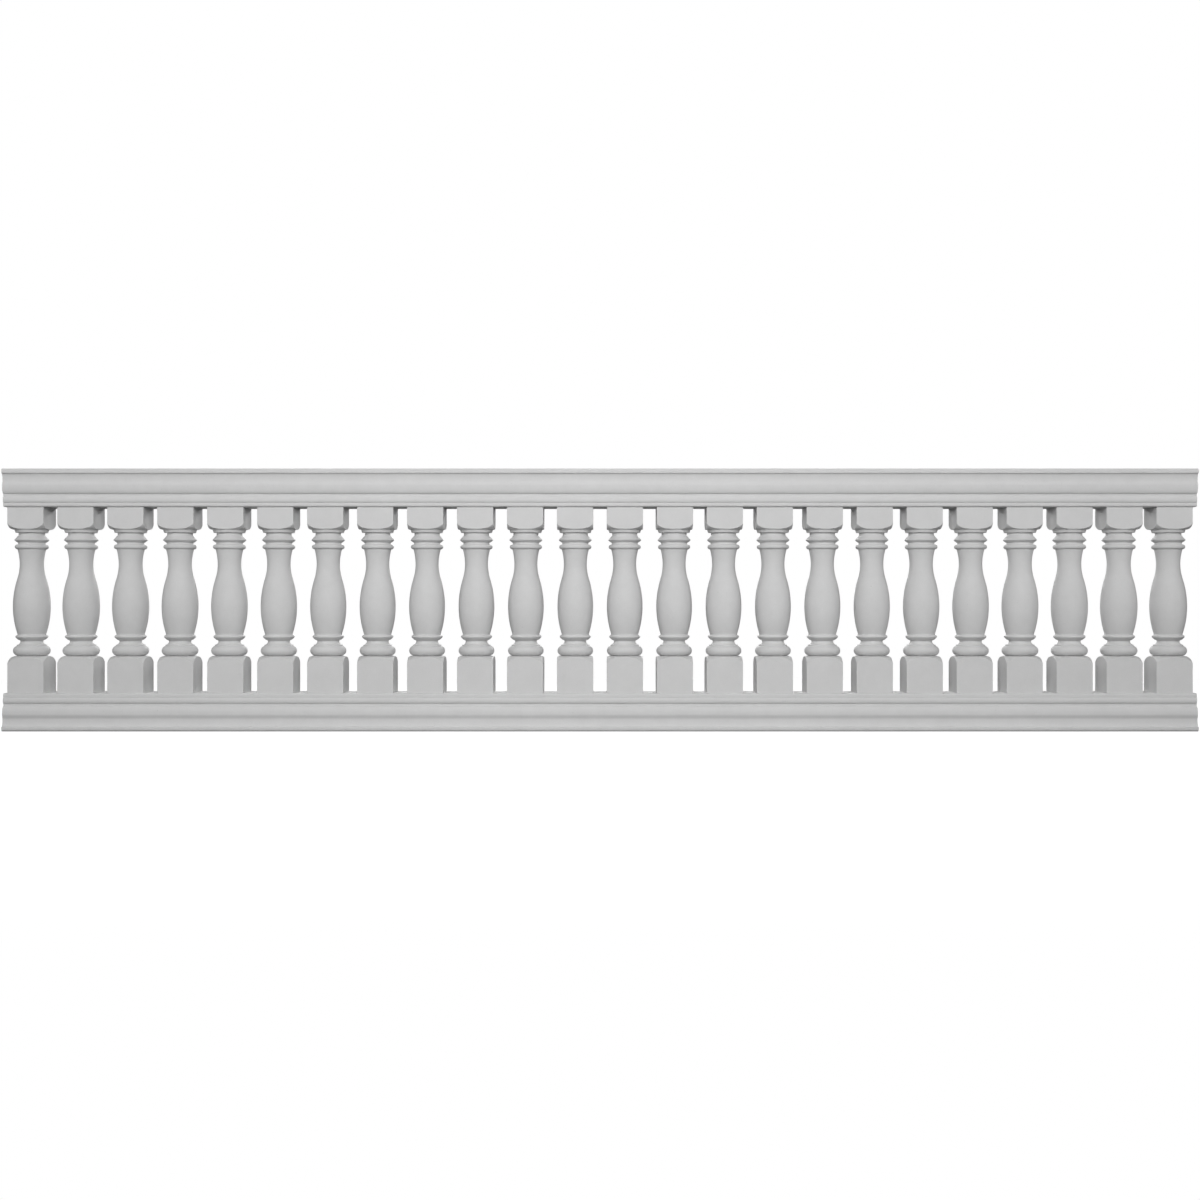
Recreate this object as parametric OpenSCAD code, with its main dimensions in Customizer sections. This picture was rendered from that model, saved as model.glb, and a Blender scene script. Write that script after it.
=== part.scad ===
// A balustrade of one bay: a bottom rail, a row of turned balusters and a top rail.
// X runs along the balustrade, Y through its thickness and Z up from the ground.
// The origin is in the middle of the ground face of the bottom rail.

/* [Row] */
// Length of each rail, both ends cut square
rail_l = 3657.6; // [3300:0.1:4200]
// Number of balusters
baluster_count = 24; // [20:1:25]
// Rail that shows beyond the end balusters
end_margin = 10; // [0:1:40]

/* [Rail moulding] */
// Depth of a rail from front to back at its widest band
rail_w = 156; // [146:1:190]
// Height of the wide band at the outer edge
band_h = 14.8; // [9:0.1:18]
// Height of the cove under the wide band
cove_h = 22; // [18:0.1:28]
// Depth of the cove behind the wide band
cove_d = 9.9; // [7.5:0.1:12]
// Radius of the wide band's lip over the cove
cove_lip = 2.5; // [1:0.1:4]
// Height over which the cove swells out again
swell_h = 15; // [12:0.1:20]
// Depth of the swelling behind the wide band
swell_d = 5.9; // [4:0.1:8]
// Height over which the swelling rolls in
roll_h = 25.5; // [20:0.1:34]
// Depth of the groove over the bead, counted from the wide band
quirk_d = 16.7; // [13:0.1:19]
// Height of that groove
quirk_h = 7; // [1:0.1:10]
// Height of the bead
bead_h = 19.5; // [15:0.1:26]
// How far the bead stands out of the groove
bead_out = 4.6; // [2:0.1:6]
// Height of the plain band that meets the balusters
seat_band_h = 12.4; // [8:0.1:16]
// Depth of that band behind the wide band
seat_d = 15; // [12:0.1:18]
// Radius of the arris between that band and the seat
seat_arris_r = 5.5; // [1:0.1:7]
// Radius of the arris along the outer face of a rail
rail_arris_r = 7; // [1:0.1:10]

/* [Baluster blocks] */
// Width of the square blocks
block_w = 111; // [100:0.5:120]
// Height of the block at the foot
foot_block_h = 113.4; // [80:0.1:150]
// Height of the oval that the turned shoulder of the foot block follows
foot_shoulder_h = 44; // [30:0.5:60]
// How far out of the block's corners that oval would reach
foot_shoulder_past = 5.3; // [1:0.1:12]
// Height of the block at the head
head_block_h = 67.7; // [50:0.1:100]
// Height of the oval that the turned bowl under the head block follows
head_bowl_h = 30; // [20:0.5:45]
// How far out of the block's corners that oval would reach
head_bowl_past = 2.5; // [1:0.1:8]
// Rounding of the upright arrises of a block
block_arris_r = 1.2; // [0.5:0.1:3]

/* [Turned foot] */
// Radius of the torus on the foot block
torus_r = 55.2; // [50:0.1:60]
// Height of the torus, which is a true half round
torus_h = 30.9; // [24:0.1:36]
// Radius of the fillet over the torus
foot_fillet_r = 44.2; // [41.5:0.1:47]
// Height of the fillet over the torus
foot_fillet_h = 2.6; // [2:0.1:6]
// Radius at the narrowest place of the hollow over the fillet
hollow_r = 34; // [28:0.1:36]
// Height of the hollow
hollow_h = 14.9; // [10:0.1:20]
// Radius where the hollow meets the ring under the vase
ring_root_r = 38; // [36.5:0.1:41]
// Radius of the ring under the vase
foot_ring_r = 48.2; // [44:0.1:52]
// Height of the ring up to its nose
foot_ring_rise = 9.7; // [7:0.1:14]
// Height of the ring over its nose
foot_ring_fall = 5.8; // [4.5:0.1:9]
// How far the flanks of this ring and of the upper neck ring bow out
flank_bow = 1.2; // [0.3:0.1:2]

/* [Vase] */
// Radius of the vase at its foot
vase_foot_r = 42.3; // [38:0.1:43.5]
// Height of the plain foot of the vase
vase_foot_h = 3.7; // [1.5:0.1:6]
// Largest radius of the vase
belly_r = 55.4; // [50:0.1:60]
// Height from the foot of the vase to its largest radius
belly_rise = 85; // [70:0.5:100]
// Height from the largest radius to the narrow neck
shoulder_rise = 131.3; // [110:0.1:150]
// Share of that height at which the curve turns from round to hollow
turn_share = 0.65; // [0.4:0.01:0.8]
// Radius of the narrow neck
neck_r = 35.6; // [31:0.1:39]
// Height over which the neck flares out
flare_rise = 45.6; // [35:0.1:55]
// Radius at the top of the flare
flare_r = 42; // [39.5:0.1:45]

/* [Neck rings] */
// Radius of the lower ring
lower_ring_r = 49.8; // [46:0.1:54]
// Height of the lower ring
lower_ring_h = 14.7; // [12:0.1:20]
// Radius of the groove between the rings
groove_r = 40.2; // [36:0.1:44]
// Height of the groove between the rings
groove_h = 5.9; // [3:0.1:8]
// Radius of the upper ring where it starts on the groove
ring_foot_r = 41; // [40.5:0.1:46]
// Radius of the upper ring
upper_ring_r = 50.8; // [47:0.1:55]
// Height of the upper ring up to its nose
upper_ring_rise = 7.8; // [6:0.1:10]
// Height of the nose of the upper ring
nose_h = 1; // [0.5:0.1:2]
// Height over which the upper ring slopes back in
slope_h = 13.9; // [11:0.1:18]
// Radius of the collar under the head block
collar_r = 38.8; // [34:0.1:42]
// Height of the collar
collar_h = 8; // [4:0.1:10]
// Radius of the fillet under the head block where it starts
cap_fillet_r = 47.8; // [46:0.1:52]
// How much that fillet widens as it rises
cap_fillet_flare = 3.2; // [0.5:0.1:4]
// Height of the fillet under the head block
cap_fillet_h = 9.6; // [8:0.1:14]

/* [Core tubes] */
// Outside diameter of a core tube
tube_d = 31.75; // [25:0.05:40]
// Wall of a core tube
tube_wall = 2.6; // [1.5:0.1:5]
// Length of tube that stands out of each end of a baluster
tube_end = 38.1; // [25:0.1:50]
// Gap around a core tube inside its baluster
core_gap = 0.15; // [0.1:0.05:0.3]
// Gap around a core tube inside its socket in a rail
socket_gap = 0.6; // [0.3:0.05:0.9]
// Depth of a socket beyond the end of its tube
socket_spare = 2; // [1:0.5:5]

/* [Hidden] */
$fn = 96;
curve_steps = 10;
long_curve_steps = 14;
arris_steps = 4;
// How far a cut reaches past what it cuts
cut_past = 1;
// How far the turned shaft runs into the blocks at its two ends
shaft_lap = 2;
stone = [0.80, 0.80, 0.79];
steel = [0.55, 0.55, 0.53];

pitch = (rail_l - block_w - 2 * end_margin) / (baluster_count - 1);

// Heights in the rail, counted from the wide band inwards
cove_z = band_h + cove_h;
swell_z = cove_z + swell_h;
roll_z = swell_z + roll_h;
quirk_z = roll_z + quirk_h;
bead_z = quirk_z + bead_h;
rail_h = bead_z + seat_band_h;

// Heights in the baluster, counted from the underside of the foot block
torus_z = foot_block_h + torus_h;
foot_fillet_z = torus_z + foot_fillet_h;
hollow_z = foot_fillet_z + hollow_h;
foot_ring_nose_z = hollow_z + foot_ring_rise;
foot_ring_z = foot_ring_nose_z + foot_ring_fall;
vase_z = foot_ring_z + vase_foot_h;
belly_z = vase_z + belly_rise;
neck_z = belly_z + shoulder_rise;
flare_z = neck_z + flare_rise;
lower_ring_z = flare_z + lower_ring_h;
groove_z = lower_ring_z + groove_h;
upper_nose_z = groove_z + upper_ring_rise;
slope_z = upper_nose_z + nose_h;
collar_z = slope_z + slope_h;
cap_fillet_z = collar_z + collar_h;
head_z = cap_fillet_z + cap_fillet_h;
baluster_h = head_z + head_block_h;

// The blocks' corners lie at this radius before they are rounded
corner_r = block_w / sqrt(2);

// Half the height of the torus, and the radius at which it springs from the foot block
torus_round = torus_h / 2;
torus_root_r = torus_r - torus_round;

// Radius at which the head block springs from its fillet
bowl_r = cap_fillet_r + cap_fillet_flare;

bore_d = tube_d + 2 * core_gap;
socket_d = tube_d + 2 * socket_gap;
socket_depth = tube_end + socket_spare;
tube_l = baluster_h + 2 * tube_end;

function baluster_name(k) = str("baluster_", k < 10 ? "0" : "", k);
function baluster_x(k) = (k - (baluster_count + 1) / 2) * pitch;

function reversed(points) = [for (i = [len(points) - 1 : -1 : 0]) points[i]];
function mirrored(points) = [for (p = points) [-p[0], p[1]]];

// Part of an ellipse about a centre, from one angle to another
function oval(centre, rx, ry, from, to, steps) =
    [for (i = [0 : steps]) let (a = from + (to - from) * i / steps) centre + [rx * cos(a), ry * sin(a)]];

// Half an oval that swells by out between two points, or hollows where out is negative
function bulge(p, q, out, steps) =
    [for (i = [0 : steps]) let (a = 180 * i / steps, t = (1 - cos(a)) / 2)
        [p[0] + (q[0] - p[0]) * t + out * sin(a), p[1] + (q[1] - p[1]) * t]];

// An arc that leaves p straight up the axis and ends at q
function leave_upright(p, q, steps) =
    let (d = q - p, r = (d * d) / (2 * d[0]), sweep = 2 * atan2(d[0], d[1]))
    [for (i = [0 : steps]) let (a = sweep * i / steps) p + r * [1 - cos(a), sin(a)]];

// An arc from p that ends at q straight up the axis
function arrive_upright(p, q, steps) =
    reversed([for (s = leave_upright([q[0], -q[1]], [p[0], -p[1]], steps)) [s[0], -s[1]]]);

// A smooth S from p to q, upright at both ends
function ease(p, q, steps) =
    [for (i = [0 : steps]) let (t = i / steps)
        [p[0] + (q[0] - p[0]) * (1 - cos(180 * t)) / 2, p[1] + (q[1] - p[1]) * t]];

// Right-hand side of the rail's cross-section, from its seat at height 0 up to the wide band
function rail_side() =
    let (
        half_w = rail_w / 2,
        h = function (depth, height) [half_w - depth, rail_h - height],
        seat_centre = h(seat_d + seat_arris_r, rail_h - seat_arris_r)
    )
    concat(
        oval(seat_centre, seat_arris_r, -seat_arris_r, 90, 0, arris_steps),
        [h(seat_d, bead_z)],
        reversed(bulge(h(quirk_d, quirk_z), h(quirk_d, bead_z), bead_out, curve_steps)),
        [h(quirk_d, roll_z)],
        oval(h(quirk_d, swell_z), quirk_d - swell_d, -roll_h, 90, 0, curve_steps),
        ease(h(swell_d, swell_z), h(cove_d, cove_z), curve_steps),
        oval(h(cove_lip, cove_z), cove_lip - cove_d, cove_h, 0, 90, curve_steps),
        oval(h(cove_lip, band_h - cove_lip), cove_lip, -cove_lip, 90, 0, arris_steps),
        oval(h(rail_arris_r, rail_arris_r), rail_arris_r, rail_arris_r, 0, 90, arris_steps)
    );

// Square with rounded corners, counted round from the first corner
function soft_square(w, r) =
    let (c = w / 2 - r)
    concat(
        oval([c, c], r, r, 0, 90, arris_steps),
        oval([-c, c], r, r, 90, 180, arris_steps),
        oval([-c, -c], r, r, 180, 270, arris_steps),
        oval([c, -c], r, r, 270, 360, arris_steps)
    );

// Outline of the turned part between the two blocks, from the bottom up
function shaft_side() =
    let (
        torus_centre = [torus_root_r, foot_block_h + torus_round],
        torus_end = acos((foot_fillet_r - torus_root_r) / torus_round),
        turn = [belly_r + (neck_r - belly_r) * turn_share, belly_z + shoulder_rise * turn_share],
        hollow_depth = (foot_fillet_r + ring_root_r) / 2 - hollow_r
    )
    concat(
        oval(torus_centre, torus_round, torus_round, -90, torus_end, long_curve_steps),
        bulge([foot_fillet_r, foot_fillet_z], [ring_root_r, hollow_z], -hollow_depth, curve_steps),
        bulge([ring_root_r, hollow_z], [foot_ring_r, foot_ring_nose_z], flank_bow, curve_steps),
        oval([vase_foot_r, foot_ring_nose_z], foot_ring_r - vase_foot_r, foot_ring_fall, 0, 90, curve_steps),
        arrive_upright([vase_foot_r, vase_z], [belly_r, belly_z], long_curve_steps),
        leave_upright([belly_r, belly_z], turn, long_curve_steps),
        arrive_upright(turn, [neck_r, neck_z], long_curve_steps),
        leave_upright([neck_r, neck_z], [flare_r, flare_z], curve_steps),
        bulge([flare_r, flare_z], [flare_r, lower_ring_z], lower_ring_r - flare_r, curve_steps),
        [[groove_r, lower_ring_z]],
        [[groove_r, groove_z]],
        bulge([ring_foot_r, groove_z], [upper_ring_r, upper_nose_z], flank_bow, curve_steps),
        [[upper_ring_r, slope_z]],
        [[collar_r, collar_z]],
        [[collar_r, cap_fillet_z]],
        [[cap_fillet_r, cap_fillet_z]],
        [[bowl_r, head_z]]
    );

module rail() {
    side = rail_side();
    difference() {
        rotate([90, 0, 90])
            linear_extrude(rail_l, center = true)
                polygon(concat(side, reversed(mirrored(side))));
        for (k = [1 : baluster_count])
            translate([baluster_x(k), 0, -cut_past])
                cylinder(d = socket_d, h = socket_depth + cut_past);
    }
}

module top_rail() {
    color(stone)
        translate([0, 0, rail_h + baluster_h])
            rail();
}

module bottom_rail() {
    color(stone)
        translate([0, 0, rail_h])
            rotate([180, 0, 0])
                rail();
}

module block(height) {
    linear_extrude(height)
        polygon(soft_square(block_w, block_arris_r));
}

// Square block whose top is turned off in one round sweep from the torus out to the corners
module foot_block() {
    shoulder_end_r = corner_r + foot_shoulder_past;
    shoulder_reach = shoulder_end_r - torus_root_r;
    centre = [torus_root_r, foot_block_h - foot_shoulder_h];
    intersection() {
        block(foot_block_h);
        rotate_extrude()
            polygon(concat(
                [[0, 0], [shoulder_end_r, 0]],
                oval(centre, shoulder_reach, foot_shoulder_h, 0, 90, long_curve_steps),
                [[0, foot_block_h]]
            ));
    }
}

// Square block whose under side is turned like the under side of a bowl
module head_block() {
    bowl_end_r = corner_r + head_bowl_past;
    bowl_reach = bowl_end_r - bowl_r;
    intersection() {
        block(head_block_h);
        rotate_extrude()
            polygon(concat(
                [[0, 0]],
                oval([bowl_r, head_bowl_h], bowl_reach, head_bowl_h, -90, 0, long_curve_steps),
                [[bowl_end_r, head_block_h], [0, head_block_h]]
            ));
    }
}

// Turned part between the two blocks, which it runs into at both ends
module shaft() {
    side = shaft_side();
    foot = side[0];
    head = side[len(side) - 1];
    rotate_extrude()
        polygon(concat(
            [[0, foot[1] - shaft_lap], [foot[0], foot[1] - shaft_lap]],
            side,
            [[head[0], head[1] + shaft_lap], [0, head[1] + shaft_lap]]
        ));
}

module baluster(k) {
    color(stone)
        translate([baluster_x(k), 0, rail_h])
            difference() {
                union() {
                    foot_block();
                    shaft();
                    translate([0, 0, head_z])
                        head_block();
                }
                translate([0, 0, -cut_past])
                    cylinder(d = bore_d, h = baluster_h + 2 * cut_past);
            }
}

module core_tubes() {
    color(steel)
        for (k = [1 : baluster_count])
            translate([baluster_x(k), 0, rail_h - tube_end])
                difference() {
                    cylinder(d = tube_d, h = tube_l);
                    translate([0, 0, -cut_past])
                        cylinder(d = tube_d - 2 * tube_wall, h = tube_l + 2 * cut_past);
                }
}

top_rail();
bottom_rail();
core_tubes();
for (k = [1 : baluster_count])
    baluster(k);
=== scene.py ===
# %% [markdown]
# A stone balustrade, modelled around its measured frame
# A balustrade is a row of turned stone posts, the balusters, that stand on a bottom rail and carry a
# top rail. A metal core runs up through every baluster and into both rails. The measured model of the
# object comes first and isn't moved: it says where each stone lies and how large it is. The stones are
# then modelled again over it with softer edges and a stone surface.

# %% Load the measured model
import math
import bpy
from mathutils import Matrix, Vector


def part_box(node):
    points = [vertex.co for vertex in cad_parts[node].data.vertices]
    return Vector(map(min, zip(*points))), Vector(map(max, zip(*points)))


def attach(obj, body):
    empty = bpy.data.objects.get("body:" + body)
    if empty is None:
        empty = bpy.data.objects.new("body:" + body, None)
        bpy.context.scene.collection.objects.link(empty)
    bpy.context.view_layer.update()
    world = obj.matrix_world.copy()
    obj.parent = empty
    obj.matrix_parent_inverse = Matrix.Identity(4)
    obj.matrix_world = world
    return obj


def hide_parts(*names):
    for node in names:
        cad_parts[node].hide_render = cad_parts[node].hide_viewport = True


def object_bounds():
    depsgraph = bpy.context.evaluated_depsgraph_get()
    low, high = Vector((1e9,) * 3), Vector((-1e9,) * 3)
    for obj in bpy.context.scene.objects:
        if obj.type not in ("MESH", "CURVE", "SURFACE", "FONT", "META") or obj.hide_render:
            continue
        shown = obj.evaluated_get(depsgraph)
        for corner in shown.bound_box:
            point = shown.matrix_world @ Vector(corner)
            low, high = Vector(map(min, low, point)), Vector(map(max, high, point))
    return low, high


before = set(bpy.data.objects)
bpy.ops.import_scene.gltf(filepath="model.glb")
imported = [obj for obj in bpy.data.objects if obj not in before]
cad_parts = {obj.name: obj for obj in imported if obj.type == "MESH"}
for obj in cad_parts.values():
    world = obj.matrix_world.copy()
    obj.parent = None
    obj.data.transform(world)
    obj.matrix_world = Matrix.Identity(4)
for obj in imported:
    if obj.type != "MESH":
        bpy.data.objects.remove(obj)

cad_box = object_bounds()
print("Nodes in the frame:", len(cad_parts))
print("Size in metres:", [round(c, 4) for c in cad_box[1] - cad_box[0]])

# %% [markdown]
# ## Sizes
# Overall sizes are read from the frame, so that the stones fit it. Sizes that only the outlines need
# are written in millimetres, as a mason would, and are turned into metres when a point is placed.

# %% Read the sizes from the frame
MM = 0.001

balusters = sorted(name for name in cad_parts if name.startswith("baluster_"))
top_low, top_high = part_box("top_rail")
first_low, first_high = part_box(balusters[0])

rail_l = (top_high.x - top_low.x) / MM
rail_w = (top_high.y - top_low.y) / MM
rail_h = (top_high.z - top_low.z) / MM
block_w = (first_high.y - first_low.y) / MM
baluster_h = (first_high.z - first_low.z) / MM
print("Rail:", round(rail_l, 1), "long,", round(rail_w, 1), "deep,", round(rail_h, 1), "high")
print(len(balusters), "balusters:", round(baluster_h, 1), "high, with blocks", round(block_w, 1), "wide")

# %% [markdown]
# ## The outline of a baluster
# From its foot up a baluster is a square block, a torus, a hollow, a ring, a vase that swells low and
# narrows high, a neck with two rings, a collar, and a second square block. Mason and turner call these
# parts members. The members lie on top of each other, so each height adds to the one below.

# %% Heights of the members
foot_block_h = 113.4
torus_h = 30.9
foot_fillet_h = 2.6
hollow_h = 14.9
foot_ring_rise = 9.7
foot_ring_fall = 5.8
vase_foot_h = 3.7
belly_rise = 85
shoulder_rise = 131.3
flare_rise = 45.6
lower_ring_h = 14.7
groove_h = 5.9
upper_ring_rise = 7.8
nose_h = 1
slope_h = 13.9
collar_h = 8
cap_fillet_h = 9.6

torus_z = foot_block_h + torus_h
foot_fillet_z = torus_z + foot_fillet_h
hollow_z = foot_fillet_z + hollow_h
foot_ring_nose_z = hollow_z + foot_ring_rise
vase_z = foot_ring_nose_z + foot_ring_fall + vase_foot_h
belly_z = vase_z + belly_rise
neck_z = belly_z + shoulder_rise
flare_z = neck_z + flare_rise
lower_ring_z = flare_z + lower_ring_h
groove_z = lower_ring_z + groove_h
upper_nose_z = groove_z + upper_ring_rise
slope_z = upper_nose_z + nose_h
collar_z = slope_z + slope_h
cap_fillet_z = collar_z + collar_h
head_z = cap_fillet_z + cap_fillet_h
print("The head block starts at", round(head_z, 1), "and is", round(baluster_h - head_z, 1), "high")

# %% [markdown]
# A moulding is drawn as a chain of short straight lines. A Bezier curve could draw it too, but its
# handles say nothing of a radius or a height. So each kind of curve is a function that returns its
# points in order, and an outline is a sum of such lists. Every point is a pair: how far out it lies and
# how high. The foot of a baluster needs two kinds: part of an oval, and a swelling between two points.

# %% Part of an oval, and a swelling
def oval(centre, across, up, from_angle, to_angle, steps):
    """Part of an oval about a centre, from one angle to another, in degrees."""
    angles = [math.radians(from_angle + (to_angle - from_angle) * i / steps) for i in range(steps + 1)]
    return [(centre[0] + across * math.cos(a), centre[1] + up * math.sin(a)) for a in angles]


def swelling(start, end, out, steps):
    """Half an oval that stands out between two points, or hollows in where out is negative."""
    points = []
    for i in range(steps + 1):
        angle = math.pi * i / steps
        share = (1 - math.cos(angle)) / 2
        outward = start[0] + (end[0] - start[0]) * share + out * math.sin(angle)
        points.append((outward, start[1] + (end[1] - start[1]) * share))
    return points


def rounded(points):
    """Points with two decimals, to be printed."""
    return [(round(out, 2), round(height, 2)) for out, height in points]


print("A quarter round in 3 steps:", rounded(oval((0, 0), 1, 1, 0, 90, 3)))
print("A swelling in 2 steps:", rounded(swelling((1, 0), (1, 1), 0.5, 2)))

# %% [markdown]
# The radii say how fat each member is. The belly of the vase and the torus are nearly as wide as the
# blocks, which is what makes the row look calm: the eye follows one line from foot to head.

# %% Outline of the turned foot
flank_bow = 1.2
torus_r = 55.2
torus_round = torus_h / 2
torus_root_r = torus_r - torus_round
foot_fillet_r = 44.2
hollow_r = 34
ring_root_r = 38
foot_ring_r = 48.2
vase_foot_r = 42.3


def foot_outline():
    """Torus, hollow and ring, from the foot block up to the foot of the vase."""
    torus_end = math.degrees(math.acos((foot_fillet_r - torus_root_r) / torus_round))
    hollow_depth = (foot_fillet_r + ring_root_r) / 2 - hollow_r
    torus_centre = (torus_root_r, foot_block_h + torus_round)
    ring_out = foot_ring_r - vase_foot_r
    return (
        oval(torus_centre, torus_round, torus_round, -90, torus_end, steps=22)
        + swelling((foot_fillet_r, foot_fillet_z), (ring_root_r, hollow_z), -hollow_depth, steps=18)
        + swelling((ring_root_r, hollow_z), (foot_ring_r, foot_ring_nose_z), flank_bow, steps=8)
        + oval((vase_foot_r, foot_ring_nose_z), ring_out, foot_ring_fall, 0, 90, steps=10)
    )


print("Points in the foot:", len(foot_outline()))

# %% [markdown]
# The vase stands upright at its belly and again at its neck, so it is drawn with round arcs that leave
# or reach a point straight up. Two of them make the long shoulder. They meet on the straight line from
# belly to neck, because only there do both have the same slope, and a share says how far along it.

# %% Arcs that leave or arrive upright
def leave_upright(start, end, steps):
    """A round arc that leaves its start straight up."""
    out, rise = end[0] - start[0], end[1] - start[1]
    radius = (out * out + rise * rise) / (2 * out)
    sweep = 2 * math.atan2(out, rise)
    angles = [sweep * i / steps for i in range(steps + 1)]
    return [(start[0] + radius * (1 - math.cos(a)), start[1] + radius * math.sin(a)) for a in angles]


def arrive_upright(start, end, steps):
    """A round arc that arrives at its end straight up: the other kind, turned over."""
    turned_over = leave_upright((end[0], -end[1]), (start[0], -start[1]), steps)
    return [(out, -height) for out, height in reversed(turned_over)]


print("A quarter round that leaves upright:", rounded(leave_upright((0, 0), (1, 1), 2)))
print("A quarter round that arrives upright:", rounded(arrive_upright((0, 0), (1, 1), 2)))

# %% Outline of the vase
belly_r = 55.4
neck_r = 35.6
flare_r = 42
turn_share = 0.65


def vase_outline():
    """The vase: out to the belly, in to the neck, and a little out again."""
    turn = (belly_r + (neck_r - belly_r) * turn_share, belly_z + shoulder_rise * turn_share)
    return (
        arrive_upright((vase_foot_r, vase_z), (belly_r, belly_z), steps=16)
        + leave_upright((belly_r, belly_z), turn, steps=12)
        + arrive_upright(turn, (neck_r, neck_z), steps=8)
        + leave_upright((neck_r, neck_z), (flare_r, flare_z), steps=8)
    )


print("Points in the vase:", len(vase_outline()))

# %% [markdown]
# The neck ends in two rings with a groove between them. The lower ring is a plain half round. The upper
# one swells out to a short upright nose and slopes back to the collar. The fillet above the collar
# spreads a little as it rises to the head block.

# %% Outline of the neck
lower_ring_r = 49.8
groove_r = 40.2
ring_foot_r = 41
upper_ring_r = 50.8
collar_r = 38.8
cap_fillet_r = 47.8
cap_fillet_flare = 3.2
bowl_r = cap_fillet_r + cap_fillet_flare


def neck_outline():
    """The two rings, the collar and the fillet that carries the head block."""
    return (
        swelling((flare_r, flare_z), (flare_r, lower_ring_z), lower_ring_r - flare_r, steps=18)
        + [(groove_r, lower_ring_z), (groove_r, groove_z)]
        + swelling((ring_foot_r, groove_z), (upper_ring_r, upper_nose_z), flank_bow, steps=8)
        + [(upper_ring_r, slope_z), (collar_r, collar_z), (collar_r, cap_fillet_z)]
        + [(cap_fillet_r, cap_fillet_z), (bowl_r, head_z)]
    )


print("Points in the neck:", len(neck_outline()))

# %% [markdown]
# ## One baluster
# The blocks look square, yet each one is turned where it meets the shaft. A turner's tool sweeps out to
# the corners of the square billet there, and leaves a curved edge, like a smile, on each side. Two ways
# lead to it. A box could be cut with a round shape by a Boolean. Here the whole baluster is spun as one
# round blank instead, wider than the blocks' corners, and the flats are then sliced off. That is
# quicker, it leaves one closed mesh, and the smile appears by itself where a flat meets the round
# shoulder. The blank is hollow from the start: its outline begins and ends on the bore for the core.

# %% Outline of the blank
tube_d = 31.75
core_gap = 0.15
bore_r = tube_d / 2 + core_gap
corner_r = block_w / math.sqrt(2)
foot_shoulder_h = 44
foot_shoulder_past = 5.3
head_bowl_h = 30
head_bowl_past = 2.5
same_place = 0.01


def without_repeats(points):
    """The same outline with every point dropped that lies on the one before it."""
    kept = [points[0]]
    for point in points[1:]:
        if math.dist(point, kept[-1]) > same_place:
            kept.append(point)
    return kept


def blank_outline():
    """Closed outline of the round blank, from the bore along the underside, up the outside and back."""
    shoulder = (torus_root_r, foot_block_h - foot_shoulder_h)
    shoulder_end_r = corner_r + foot_shoulder_past
    bowl = (bowl_r, head_z + head_bowl_h)
    bowl_end_r = corner_r + head_bowl_past
    return without_repeats(
        [(bore_r, 0), (shoulder_end_r, 0)]
        + oval(shoulder, shoulder_end_r - torus_root_r, foot_shoulder_h, 0, 90, steps=24)
        + foot_outline()
        + vase_outline()
        + neck_outline()
        + oval(bowl, bowl_end_r - bowl_r, head_bowl_h, -90, 0, steps=18)
        + [(bowl_end_r, baluster_h), (bore_r, baluster_h)]
    )


print("Points round the blank:", len(blank_outline()))

# %% [markdown]
# An operator works on everything that is selected, and the imported nodes are all selected after they
# load. So each piece starts with an empty selection. A line is then drawn as one would with a mouse: a
# small plane is merged into a single corner, and that corner is extruded from point to point.

# %% Select one piece, and draw a closed line
def select_only(piece):
    """Makes one piece the only selected and the active one."""
    if bpy.context.object and bpy.context.object.mode != "OBJECT":
        bpy.ops.object.mode_set(mode="OBJECT")
    bpy.ops.object.select_all(action="DESELECT")
    piece.select_set(True)
    bpy.context.view_layer.objects.active = piece


def draw_loop(name, points):
    """Draws a closed line by extruding one corner from point to point."""
    bpy.ops.object.select_all(action="DESELECT")
    bpy.ops.mesh.primitive_plane_add(size=MM, location=(0, 0, 0))
    piece = bpy.context.object
    piece.name = name
    piece.data.name = name
    bpy.ops.object.mode_set(mode="EDIT")
    bpy.ops.mesh.select_mode(type="VERT")
    bpy.ops.mesh.select_all(action="SELECT")
    bpy.ops.mesh.merge(type="CENTER")
    bpy.ops.transform.translate(value=points[0])
    for here, there in zip(points, points[1:]):
        step = [b - a for a, b in zip(here, there)]
        bpy.ops.mesh.extrude_vertices_move(TRANSFORM_OT_translate={"value": step})
    bpy.ops.object.mode_set(mode="OBJECT")
    last = len(piece.data.vertices) - 1
    for i, corner in enumerate(piece.data.vertices):
        corner.select = i in (0, last)
    bpy.ops.object.mode_set(mode="EDIT")
    bpy.ops.mesh.edge_face_add()
    bpy.ops.object.mode_set(mode="OBJECT")
    return piece


pattern = draw_loop("baluster_pattern", [(r * MM, 0, z * MM) for r, z in blank_outline()])
print("Corners in the line:", len(pattern.data.vertices))

# %% [markdown]
# The spin carries the line once round the upright axis. It ends where it began, so the two copies of
# the line that meet there are merged, and the normals are made to point outwards.

# %% Spin the blank
spin_steps = 96

select_only(pattern)
bpy.ops.object.mode_set(mode="EDIT")
bpy.ops.mesh.select_all(action="SELECT")
bpy.ops.mesh.spin(steps=spin_steps, angle=2 * math.pi, center=(0, 0, 0), axis=(0, 0, 1))
bpy.ops.mesh.select_all(action="SELECT")
bpy.ops.mesh.remove_doubles(threshold=same_place * MM)
bpy.ops.mesh.normals_make_consistent(inside=False)
bpy.ops.object.mode_set(mode="OBJECT")
print("Blank:", len(pattern.data.vertices), "corners and", len(pattern.data.polygons), "faces")

# %% [markdown]
# No member between the blocks reaches as far out as their flats, so each slice can run through the
# whole baluster. Clearing the outer side and filling the cut leaves a clean flat face on both blocks.

# %% Slice the flats of both blocks
reach = block_w / 2 * MM
on_the_cut = 0.001 * MM

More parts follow.
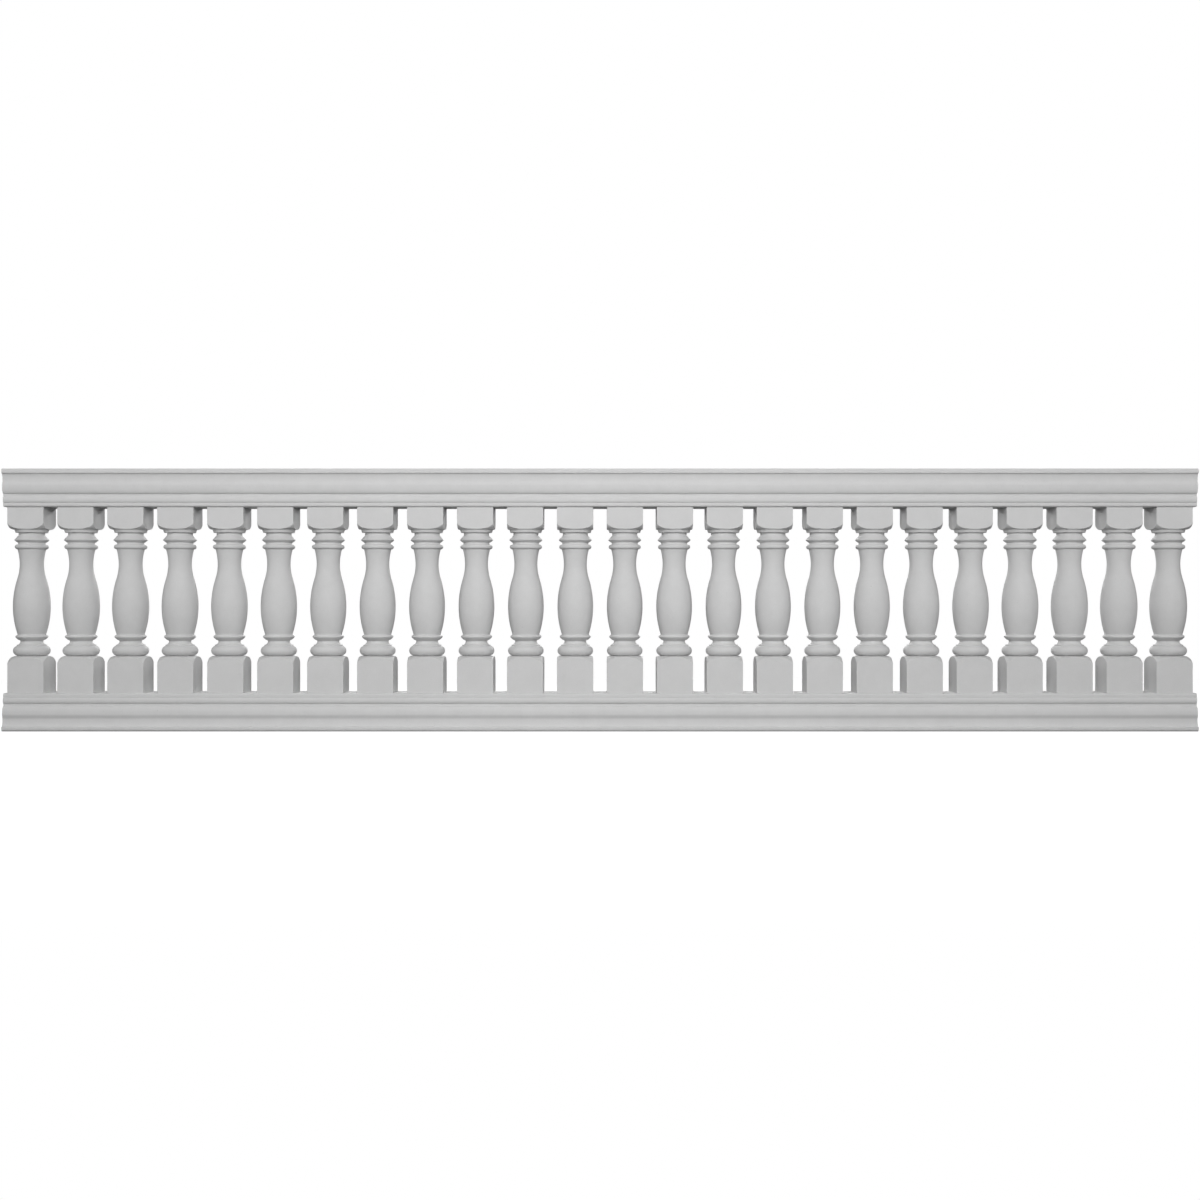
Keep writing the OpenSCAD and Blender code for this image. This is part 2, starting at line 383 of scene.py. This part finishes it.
bpy.ops.object.mode_set(mode="EDIT")
for direction in [(1, 0, 0), (-1, 0, 0), (0, 1, 0), (0, -1, 0)]:
    bpy.ops.mesh.select_all(action="SELECT")
    bpy.ops.mesh.bisect(
        plane_co=[c * reach for c in direction],
        plane_no=direction,
        use_fill=True,
        clear_outer=True,
        threshold=on_the_cut,
    )
bpy.ops.object.mode_set(mode="OBJECT")
print("After four slices:", len(pattern.data.polygons), "faces")

# %% [markdown]
# A cast stone block has no knife edges: its upright corners are rounded by the mould. The bevel needs
# only those eight edges. There is no mouse to click them with, so edges and faces are picked by a test
# of their place or direction. The upright edges are the ones whose two ends both lie on a corner of the
# square.

# %% Round the upright corners of the blocks
block_arris_r = 1.2
slack = 0.05 * MM


def pick(piece, kind, wanted):
    """Enters edit mode with only the faces or edges selected that the test says yes to."""
    select_only(piece)
    bpy.ops.object.mode_set(mode="EDIT")
    bpy.ops.mesh.select_mode(type=kind)
    bpy.ops.mesh.select_all(action="DESELECT")
    bpy.ops.object.mode_set(mode="OBJECT")
    parts = piece.data.polygons if kind == "FACE" else piece.data.edges
    count = 0
    for part in parts:
        part.select = wanted(part)
        count += part.select
    bpy.ops.object.mode_set(mode="EDIT")
    return count


def edge_ends(edge):
    """The two end points of an edge of the pattern."""
    return [pattern.data.vertices[i].co for i in edge.vertices]


def on_a_corner(edge):
    """True for an upright edge at a corner of a block."""
    return all(abs(abs(c) - reach) < slack for end in edge_ends(edge) for c in end[:2])


corners = pick(pattern, "EDGE", on_a_corner)
bpy.ops.mesh.bevel(offset=block_arris_r * MM, offset_type="WIDTH", segments=3, affect="EDGES")
bpy.ops.object.mode_set(mode="OBJECT")
print("Rounded", corners, "edges")

# %% [markdown]
# Where a block sits on a rail, its edge is broken a little. The break catches a thin shadow, and that
# is the joint line that one sees between two stones. These edges run round the lowest and the highest
# faces. Edges across those faces and round the bore are left out, because they have an end near the
# axis. At last, faces that meet at a small angle are shaded as one smooth surface, so that the turned
# members look round and real edges stay crisp.

# %% Break the edges of the seats
seat_break = 0.8
smooth_below = math.radians(14)


def round_a_seat(edge):
    """True for an edge round the underside of the foot block or the top of the head block."""
    ends = edge_ends(edge)
    level = all(min(abs(end.z), abs(end.z - baluster_h * MM)) < slack for end in ends)
    return level and all(math.hypot(end.x, end.y) > 2 * bore_r * MM for end in ends)


seats = pick(pattern, "EDGE", round_a_seat)
bpy.ops.mesh.bevel(offset=seat_break * MM, offset_type="OFFSET", segments=2, affect="EDGES")
bpy.ops.mesh.select_all(action="SELECT")
bpy.ops.mesh.remove_doubles(threshold=same_place * MM)
bpy.ops.mesh.normals_make_consistent(inside=False)
bpy.ops.object.mode_set(mode="OBJECT")
bpy.ops.object.shade_smooth_by_angle(angle=smooth_below)
print("Broke", seats, "edges; the baluster has", len(pattern.data.polygons), "faces")

# %% [markdown]
# ## The row
# Every baluster is the same casting, so the pattern is copied into each place. Each copy gets its own
# mesh with its place in it, because a finished piece stays at the origin, unturned, as the frame's own
# nodes do. The surface pattern then differs from one stone to the next.

# %% Copy the pattern into its places
scene = bpy.context.scene

turned = []
for node in balusters:
    low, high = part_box(node)
    from_origin = Vector(((low.x + high.x) / 2, 0, low.z))
    copy = pattern.data.copy()
    for corner in copy.vertices:
        corner.co += from_origin
    piece = bpy.data.objects.new("turned_" + node, copy)
    scene.collection.objects.link(piece)
    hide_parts(node)
    turned.append(piece)
bpy.data.objects.remove(pattern)
print("Placed", len(turned), "balusters")

# %% [markdown]
# ## The rails
# Both rails are the same moulding, and the bottom one is turned over. Seen from the wide outer band,
# the face hollows into a cove, swells out, rolls in to a groove, and ends in a bead and a plain band
# where the balusters sit. It could be cut from a box, member by member, but one outline that is
# extruded gives all the faces at once. Heights are counted from the outer band towards the seat.

# %% Heights and depths of the rail's moulding
band_h = 14.8
cove_h = 22
cove_d = 9.9
cove_lip = 2.5
swell_h = 15
swell_d = 5.9
roll_h = 25.5
quirk_d = 16.7
quirk_h = 7
bead_h = 19.5
bead_out = 4.6
seat_d = 15
seat_arris_r = 5.5
rail_arris_r = 7

cove_z = band_h + cove_h
swell_z = cove_z + swell_h
roll_z = swell_z + roll_h
quirk_z = roll_z + quirk_h
bead_z = quirk_z + bead_h
print("The plain band at the seat is", round(rail_h - bead_z, 1), "high")

# %% [markdown]
# Between the swell and the cove the face turns in a soft S, which is half a wave of a cosine. The other
# members are parts of ovals and a swelling again. The outline is drawn for one side and mirrored for
# the other. A mason calls the narrow groove a quirk.

# %% Outline of the rail
def soft_s(start, end, steps):
    """A smooth S, upright at both ends."""
    points = []
    for i in range(steps + 1):
        share = i / steps
        outward = start[0] + (end[0] - start[0]) * (1 - math.cos(math.pi * share)) / 2
        points.append((outward, start[1] + (end[1] - start[1]) * share))
    return points


def rail_outline():
    """Closed outline of the rail's cross-section, with its seat at height 0."""
    def at(depth, below):
        return (rail_w / 2 - depth, rail_h - below)

    seat_edge = at(seat_d + seat_arris_r, rail_h - seat_arris_r)
    bead = swelling(at(quirk_d, quirk_z), at(quirk_d, bead_z), bead_out, steps=16)
    side = (
        oval(seat_edge, seat_arris_r, -seat_arris_r, 90, 0, steps=8)
        + [at(seat_d, bead_z)]
        + bead[::-1]
        + oval(at(quirk_d, swell_z), quirk_d - swell_d, -roll_h, 90, 0, steps=18)
        + soft_s(at(swell_d, swell_z), at(cove_d, cove_z), steps=12)
        + oval(at(cove_lip, cove_z), cove_lip - cove_d, cove_h, 0, 90, steps=18)
        + oval(at(cove_lip, band_h - cove_lip), cove_lip, -cove_lip, 90, 0, steps=4)
        + oval(at(rail_arris_r, rail_arris_r), rail_arris_r, rail_arris_r, 0, 90, steps=12)
    )
    return without_repeats(side + [(-out, height) for out, height in reversed(side)])


print("Points round the rail:", len(rail_outline()))

# %% [markdown]
# A rail is drawn as a flat section, filled, and extruded along its whole length. The end faces are
# inset with a little depth, which leaves a fine chamfer round them. The extrusion is shorter by the two
# chamfers, so the rail keeps its measured length.

# %% Extrude the rails
chamfer = 0.8
nearly_square_on = 0.99


def make_rail(name, node, upside_down):
    """A rail over its node, with its seat down, or up where the rail is turned over."""
    low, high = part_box(node)
    start = low.x + chamfer * MM
    if upside_down:
        section = [(start, -out * MM, high.z - height * MM) for out, height in rail_outline()]
    else:
        section = [(start, out * MM, low.z + height * MM) for out, height in rail_outline()]
    rail = draw_loop(name, section)
    select_only(rail)
    bpy.ops.object.mode_set(mode="EDIT")
    bpy.ops.mesh.select_all(action="SELECT")
    bpy.ops.mesh.edge_face_add()
    length = high.x - low.x - 2 * chamfer * MM
    bpy.ops.mesh.extrude_region_move(TRANSFORM_OT_translate={"value": (length, 0, 0)})
    bpy.ops.mesh.select_all(action="SELECT")
    bpy.ops.mesh.normals_make_consistent(inside=False)
    for side in (-1, 1):
        pick(rail, "FACE", lambda face: face.normal.x * side > nearly_square_on)
        bpy.ops.mesh.inset(thickness=chamfer * MM, depth=chamfer * MM)
    bpy.ops.object.mode_set(mode="OBJECT")
    return rail


top_rail = make_rail("moulded_top_rail", "top_rail", False)
bottom_rail = make_rail("moulded_bottom_rail", "bottom_rail", True)
for rail in (top_rail, bottom_rail):
    print(rail.name, "has", len(rail.data.polygons), "faces")

# %% [markdown]
# The core of each baluster reaches into a blind socket in both rails. The sockets are cut with one
# Boolean for each rail: all the drills are joined into one mesh first, because one large cut is much
# quicker than twenty-four small ones. A drill starts a little outside the rail, so that the cut has a
# clean mouth.

# %% Drill the sockets
tube_end = 38.1
socket_gap = 0.6
socket_spare = 2
socket_r = tube_d / 2 + socket_gap
socket_depth = tube_end + socket_spare
drill_steps = 32
drill_past = 1


def drill_sockets(rail, seat_z, inward):
    """Cuts a socket over or under each baluster."""
    bpy.ops.object.select_all(action="DESELECT")
    middle_z = seat_z + inward * (socket_depth - drill_past) / 2 * MM
    drills = []
    for node in balusters:
        low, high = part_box(node)
        bpy.ops.mesh.primitive_cylinder_add(
            vertices=drill_steps,
            radius=socket_r * MM,
            depth=(socket_depth + drill_past) * MM,
            location=((low.x + high.x) / 2, 0, middle_z),
        )
        drills.append(bpy.context.object)
    for drill in drills:
        drill.select_set(True)
    bpy.ops.object.join()
    drill = bpy.context.object
    select_only(rail)
    cut = rail.modifiers.new("sockets", "BOOLEAN")
    cut.operation = "DIFFERENCE"
    cut.solver = "EXACT"
    cut.object = drill
    bpy.ops.object.modifier_apply(modifier=cut.name)
    bpy.data.objects.remove(drill)
    bpy.ops.object.shade_smooth_by_angle(angle=smooth_below)
    return len(rail.data.polygons)


bottom_seat_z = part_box("bottom_rail")[1].z
print("Top rail:", drill_sockets(top_rail, top_low.z, 1), "faces after drilling")
print("Bottom rail:", drill_sockets(bottom_rail, bottom_seat_z, -1), "faces after drilling")
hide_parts("top_rail")
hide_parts("bottom_rail")

# %% [markdown]
# ## Cast stone
# Cast stone is fine crushed stone and cement, cast in a smooth mould. From a step away it is one
# even pale grey. Closer up it has soft clouds of lighter and darker grey, a sandy grain, and a few
# pinholes where air was caught. A picture of such a stone would repeat, and stretch over the mouldings,
# so the surface is made of noise instead. It reads the Object coordinates in metres, which keeps all
# effects true to scale. The first two helpers add a node and fill its inputs, each with a value or with
# a link from another node's output.

# %% Add a node with its inputs
def set_inputs(tree, node, inputs):
    """Gives each input its value, or a link where another node's output is given."""
    for key, value in inputs.items():
        if isinstance(value, bpy.types.NodeSocket):
            tree.links.new(value, node.inputs[key])
        else:
            node.inputs[key].default_value = value


def add_node(tree, kind, at, inputs=None, **settings):
    """A node at a place in the node editor. Its settings come first, because some change its inputs."""
    node = tree.nodes.new(kind)
    node.location = at
    for name, value in settings.items():
        setattr(node, name, value)
    set_inputs(tree, node, inputs or {})
    return node


print("Helpers ready: set_inputs, add_node")

# %% [markdown]
# Four kinds of node come back often, so each gets a function that adds it and returns its output:
# noise, a sum or product, a range that is stretched to another, and two colours that are mixed.

# %% Four kinds of node
def noise(tree, at, vector, per_metre, detail, roughness=0.5):
    """The grey of a Noise texture."""
    inputs = {"Vector": vector, "Scale": per_metre, "Detail": detail, "Roughness": roughness}
    return add_node(tree, "ShaderNodeTexNoise", at, inputs).outputs["Fac"]


def calculate(tree, at, operation, *numbers):
    """What a Math node makes of its numbers."""
    return add_node(tree, "ShaderNodeMath", at, dict(enumerate(numbers)), operation=operation).outputs[0]


def stretch(tree, at, value, low=0, high=1, new_low=0, new_high=1, **settings):
    """What a Map Range node makes of a value: low becomes new_low, and high becomes new_high."""
    inputs = {"Value": value, "From Min": low, "From Max": high, "To Min": new_low, "To Max": new_high}
    return add_node(tree, "ShaderNodeMapRange", at, inputs, **settings).outputs["Result"]


def mix_colours(tree, at, share, first, second, **settings):
    """What a Mix node makes of two colours: the first alone at a share of 0, the full mix at 1."""
    inputs = {"Factor": share, "A": first, "B": second}
    return add_node(tree, "ShaderNodeMix", at, inputs, data_type="RGBA", **settings).outputs["Result"]


print("Helpers ready: noise, calculate, stretch, mix_colours")

# %% [markdown]
# The effects go into one node group with named inputs. A material then stays short, and says only which
# two greys it has and how strong its grain and its pinholes are.

# %% Start the group for the cast surface
sockets = [
    ("Pale", "INPUT", "NodeSocketColor"),
    ("Deep", "INPUT", "NodeSocketColor"),
    ("Grain", "INPUT", "NodeSocketFloat"),
    ("Pinholes", "INPUT", "NodeSocketFloat"),
    ("Colour", "OUTPUT", "NodeSocketColor"),
    ("Roughness", "OUTPUT", "NodeSocketFloat"),
    ("Height", "OUTPUT", "NodeSocketFloat"),
]

group = bpy.data.node_groups.new("cast_surface", "ShaderNodeTree")
for name, side, kind in sockets:
    group.interface.new_socket(name, in_out=side, socket_type=kind)
chosen = add_node(group, "NodeGroupInput", (-1200, 0)).outputs
place = add_node(group, "ShaderNodeTexCoord", (-1200, -300)).outputs["Object"]
print("Sockets of the group:", [name for name, side, kind in sockets])

# %% [markdown]
# Clouds come from two layers of noise, one with wide clouds and one with smaller patches. Their sum
# stays near 1, so the range about 1 is stretched before it mixes the pale and the deep grey.

# %% Clouds
clouds = noise(group, (-900, 300), place, per_metre=4, detail=5, roughness=0.55)
patches = noise(group, (-900, 50), place, per_metre=26, detail=4, roughness=0.6)
both = calculate(group, (-650, 200), "ADD", clouds, patches)
spread = stretch(group, (-450, 200), both, low=0.65, high=1.35)
tone = mix_colours(group, (-200, 250), spread, chosen["Pale"], chosen["Deep"])
print("With its clouds the group has", len(group.nodes), "nodes")

# %% [markdown]
# The sand is a third, very fine noise. Turned into numbers from about -1 to 1, it makes the grey a
# little lighter or darker, by as much as the Grain input says.

# %% Sand
sand = noise(group, (-900, -200), place, per_metre=700, detail=3, roughness=0.65)
grains = stretch(group, (-650, -150), sand, low=0.3, high=0.7, new_low=-1, clamp=False)
speckle = calculate(group, (-200, 0), "MULTIPLY_ADD", grains, chosen["Grain"], 1)
sandy = mix_colours(group, (50, 200), 1, tone, speckle, blend_type="MULTIPLY")
print("With the sand it has", len(group.nodes), "nodes")

# %% [markdown]
# A Voronoi texture scatters points, and gives the room round each point a random colour. Where the red
# of that colour is high, the point becomes a pinhole, and the green says how wide it is. That is one
# point in five, with a radius of 3 to 8 hundredths of the distance between points. The smooth step
# gives a hole a rim that falls away softly.

# %% Pinholes
points_per_metre = 85
least_radius = 0.03
most_radius = 0.08
no_hole_below = 0.8
flat_within = 0.6

voronoi_inputs = {"Vector": place, "Scale": points_per_metre}
points = add_node(group, "ShaderNodeTexVoronoi", (-900, -450), voronoi_inputs).outputs
chance = add_node(group, "ShaderNodeSeparateColor", (-650, -700), {"Color": points["Color"]}).outputs
radius = calculate(
    group, (-450, -600), "MULTIPLY_ADD", chance["Green"], most_radius - least_radius, least_radius
)
from_middle = calculate(group, (-450, -400), "DIVIDE", points["Distance"], radius)
hole = stretch(
    group, (-250, -400), from_middle, low=1, high=flat_within, interpolation_type="SMOOTHSTEP"
)
holed = calculate(group, (-450, -700), "GREATER_THAN", chance["Red"], no_hole_below)
holes = calculate(group, (-50, -500), "MULTIPLY", hole, holed)
depth = calculate(group, (150, -500), "MULTIPLY", holes, chosen["Pinholes"])
widths = [round(2 * r / points_per_metre / MM, 1) for r in (least_radius, most_radius)]
print("Pinholes are", widths[0], "to", widths[1], "mm across")

# %% [markdown]
# A pinhole is painted darker inside, as painted shade, because little light reaches its floor. The
# roughness wanders a little with the patches. The height is the slight relief of the sand less the depth
# of the pinholes.

# %% Colour, roughness and height of the group
painted_shade_in_holes = (0.35, 0.35, 0.34, 1)
sand_relief = 0.15

# The pinholes' depth darkens the colour here: painted shade inside the holes.
colour = mix_colours(group, (300, 150), depth, sandy, painted_shade_in_holes, blend_type="MULTIPLY")
rough = stretch(group, (300, -100), patches, new_low=0.62, new_high=0.78)
relief = calculate(group, (300, -350), "MULTIPLY", grains, sand_relief)
height = calculate(group, (500, -400), "SUBTRACT", relief, depth)
results = {"Colour": colour, "Roughness": rough, "Height": height}
add_node(group, "NodeGroupOutput", (900, 0), results)
print("Group", group.name, "has", len(group.nodes), "nodes")

# %% [markdown]
# The stone's material places the group and wires it to the shader. The height goes through a Bump node,
# which makes sand and pinholes catch the light. Modelled ones would need millions of faces. The stone
# is matt, so it reflects less than the shader does by itself.

# %% Material for the stones
pale_grey = (0.65, 0.65, 0.65, 1)
deep_grey = (0.61, 0.61, 0.61, 1)


def new_material(name):
    """A new material, its node tree, and the shader that stands in it from the start."""
    material = bpy.data.materials.new(name)
    material.use_nodes = True
    return material, material.node_tree, material.node_tree.nodes["Principled BSDF"]


stone, tree, shader = new_material("pale_cast_stone")
choices = {"Pale": pale_grey, "Deep": deep_grey, "Grain": 0.05, "Pinholes": 0.8}
cast = add_node(tree, "ShaderNodeGroup", (-600, 100), choices, node_tree=group).outputs
bump_inputs = {"Height": cast["Height"], "Strength": 0.8, "Distance": 0.4 * MM}
bump = add_node(tree, "ShaderNodeBump", (-300, -200), bump_inputs).outputs["Normal"]
stone_finish = {
    "Base Color": cast["Colour"],
    "Roughness": cast["Roughness"],
    "Normal": bump,
    "Specular IOR Level": 0.3,
}
set_inputs(tree, shader, stone_finish)

for piece in [*turned, top_rail, bottom_rail]:
    piece.data.materials.clear()
    piece.data.materials.append(stone)
    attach(piece, "root")
print("Stones with the material", stone.name + ":", len(turned) + 2)

# %% [markdown]
# ## The metal cores
# The cores are plain steel tubes with a dull zinc coat. They hide inside the stones once the row is
# put together, but they are real pieces, so they keep their measured shape and get a finish of their
# own: fine streaks along the tube, from noise that is stretched along the axis, and the faint cells
# that zinc forms as it sets.

# %% Material for the cores
along_the_tube = (1, 1, 0.04)
cells_per_metre = 220
dark_zinc = (0.34, 0.34, 0.33, 1)
light_zinc = (0.52, 0.52, 0.50, 1)

steel, tree, shader = new_material("zinc_coated_steel")
place = add_node(tree, "ShaderNodeTexCoord", (-1000, 0)).outputs["Object"]
drawn = add_node(tree, "ShaderNodeMapping", (-800, 0), {"Vector": place, "Scale": along_the_tube})
streaks = noise(tree, (-600, 100), drawn.outputs["Vector"], per_metre=900, detail=3)
zinc_inputs = {"Vector": place, "Scale": cells_per_metre}
zinc_cells = add_node(tree, "ShaderNodeTexVoronoi", (-600, -150), zinc_inputs).outputs["Distance"]
mix_inputs = {"Factor": 0.4, "A": streaks, "B": zinc_cells}
mixed = add_node(tree, "ShaderNodeMix", (-400, 0), mix_inputs).outputs["Result"]
zinc = mix_colours(tree, (-200, 100), mixed, dark_zinc, light_zinc)
dull = stretch(tree, (-200, -150), mixed, new_low=0.4, new_high=0.6)
set_inputs(tree, shader, {"Base Color": zinc, "Roughness": dull, "Metallic": 0.9})

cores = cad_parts["core_tubes"]
cores.data.materials.clear()
cores.data.materials.append(steel)
print("Cores keep their measured mesh of", len(cores.data.polygons), "faces")

# %% [markdown]
# ## Camera
# The picture shows the row square on, from the height of its middle. Two things in it give the camera:
# how fast the side faces of the blocks open towards the ends of the row says how far away it stands,
# and the length of the rails then says how long its lens is. The image is square, so the sensor's width
# is its full side.

# %% Camera
image_px = 1200
focal_px = 1547
distance = 4.8019
sensor_mm = 36

camera_data = bpy.data.cameras.new("camera")
camera_data.sensor_width = sensor_mm
camera_data.lens = focal_px / image_px * sensor_mm
camera = bpy.data.objects.new("camera", camera_data)
camera.location = (0, -distance, (cad_box[0].z + cad_box[1].z) / 2)
camera.rotation_euler = (math.radians(90), 0, 0)
scene.collection.objects.link(camera)
scene.camera = camera
print("Lens", round(camera_data.lens, 2), "mm,", distance, "m in front of the row")

# %% [markdown]
# ## Light and floor
# One wide soft light stands in front and higher than the top rail, so that every moulding shades from
# light to dark from top to bottom, and the row dims a little towards its ends and its foot. The gaps
# between the blocks are narrow, so hardly any of it reaches their sides. A weak light at each end and a
# strong one behind, which shines through the gaps, keep the sides readable. A last one hangs right over
# the row: from the front it hardly matters, because the top rail keeps it off the stones below, but it
# lights the top of that rail for someone who looks down on it. The Standard view shows tones as they are.

# %% Lights
scene.view_settings.view_transform = "Standard"


def soft_light(name, at, size, watts):
    """A rectangular light that looks at the middle of the row."""
    data = bpy.data.lights.new(name, "AREA")
    data.shape = "RECTANGLE"
    data.size, data.size_y = size
    data.energy = watts
    lamp = bpy.data.objects.new(name, data)
    lamp.location = at
    middle = (cad_box[0] + cad_box[1]) / 2
    lamp.rotation_euler = (middle - lamp.location).to_track_quat("-Z", "Y").to_euler()
    scene.collection.objects.link(lamp)
    return lamp


lights = [
    soft_light("front_light", at=(0, -3, 1.6), size=(3.2, 1.2), watts=88),
    soft_light("left_light", at=(-3, -1.2, 1.2), size=(1.6, 1.2), watts=12),
    soft_light("right_light", at=(3, -1.2, 1.2), size=(1.6, 1.2), watts=12),
    soft_light("back_light", at=(0, 4.5, 2.2), size=(4.2, 1.5), watts=188),
    soft_light("over_light", at=(0, 0, 4), size=(3.6, 0.3), watts=16),
]
print("Lights:", [light.name for light in lights])

# %% [markdown]
# The photo's background is plain white, but a white world would flood the row from all sides and wash
# its shading out. So the surround is white only to the camera, and much dimmer as a light.

# %% Surround
as_a_light = 0.1
to_the_camera = 1

world = bpy.data.worlds.new("surround")
world.use_nodes = True
scene.world = world
tree = world.node_tree
seen = add_node(tree, "ShaderNodeLightPath", (-600, 0)).outputs["Is Camera Ray"]
strengths = {"Factor": seen, "A": as_a_light, "B": to_the_camera}
strength = add_node(tree, "ShaderNodeMix", (-300, 0), strengths).outputs["Result"]
set_inputs(tree, tree.nodes["Background"], {"Strength": strength, "Color": (1, 1, 1, 1)})
print("Surround is white to the camera and dimmer as a light")

# %% [markdown]
# The floor glows as white as the surround to the camera, so neither a horizon nor a shadow shows, as in
# the photo. Near the row it glows a little less and reflects some light instead, which reaches the
# undersides of the mouldings. Further out it reflects nothing, so that the patch right under the strong
# light behind the row doesn't outshine the edges of the stones. The near part is an oval: the Mapping
# node makes distances along the row count for less than those across it.

# %% Floor
floor_size = 60

bpy.ops.object.select_all(action="DESELECT")
bpy.ops.mesh.primitive_plane_add(size=floor_size, location=(0, 0, cad_box[0].z))
floor = bpy.context.object
floor.name = "floor"
print("Floor", floor_size, "m square at height", round(cad_box[0].z, 3))

# %% Material for the floor
near_floor = 0.8
far_floor = 3
along_the_row = (0.4, 1, 1)
floor_grey = (0.25, 0.25, 0.25, 1)
black = (0, 0, 0, 1)
near_glow = 0.92
far_glow = 1

pale, tree, shader = new_material("pale_floor")
place = add_node(tree, "ShaderNodeTexCoord", (-1300, -100)).outputs["Object"]
squeezed = add_node(tree, "ShaderNodeMapping", (-1100, -100), {"Vector": place, "Scale": along_the_row})
length_of = {0: squeezed.outputs["Vector"]}
away = add_node(tree, "ShaderNodeVectorMath", (-900, -100), length_of, operation="LENGTH").outputs["Value"]
fade = stretch(
    tree, (-700, -100), away, low=near_floor, high=far_floor, interpolation_type="SMOOTHSTEP"
)
grey = mix_colours(tree, (-300, 200), fade, floor_grey, black)
glows = {"Factor": fade, "A": near_glow, "B": far_glow}
glow = add_node(tree, "ShaderNodeMix", (-500, -200), glows).outputs["Result"]
seen = add_node(tree, "ShaderNodeLightPath", (-500, -400)).outputs["Is Camera Ray"]
glow_seen = calculate(tree, (-300, -200), "MULTIPLY", glow, seen)
floor_finish = {
    "Base Color": grey,
    "Emission Strength": glow_seen,
    "Emission Color": (1, 1, 1, 1),
    "Roughness": 0.9,
    "Specular IOR Level": 0,
}
set_inputs(tree, shader, floor_finish)
floor.data.materials.append(pale)
print("The floor reflects light near the row, and none from", far_floor, "m away")

# %% [markdown]
# ## Sizes and the end
# The measured box is printed.

# %% Write the sizes and finish
print("Measured box:", [[round(c, 4) for c in corner] for corner in cad_box])
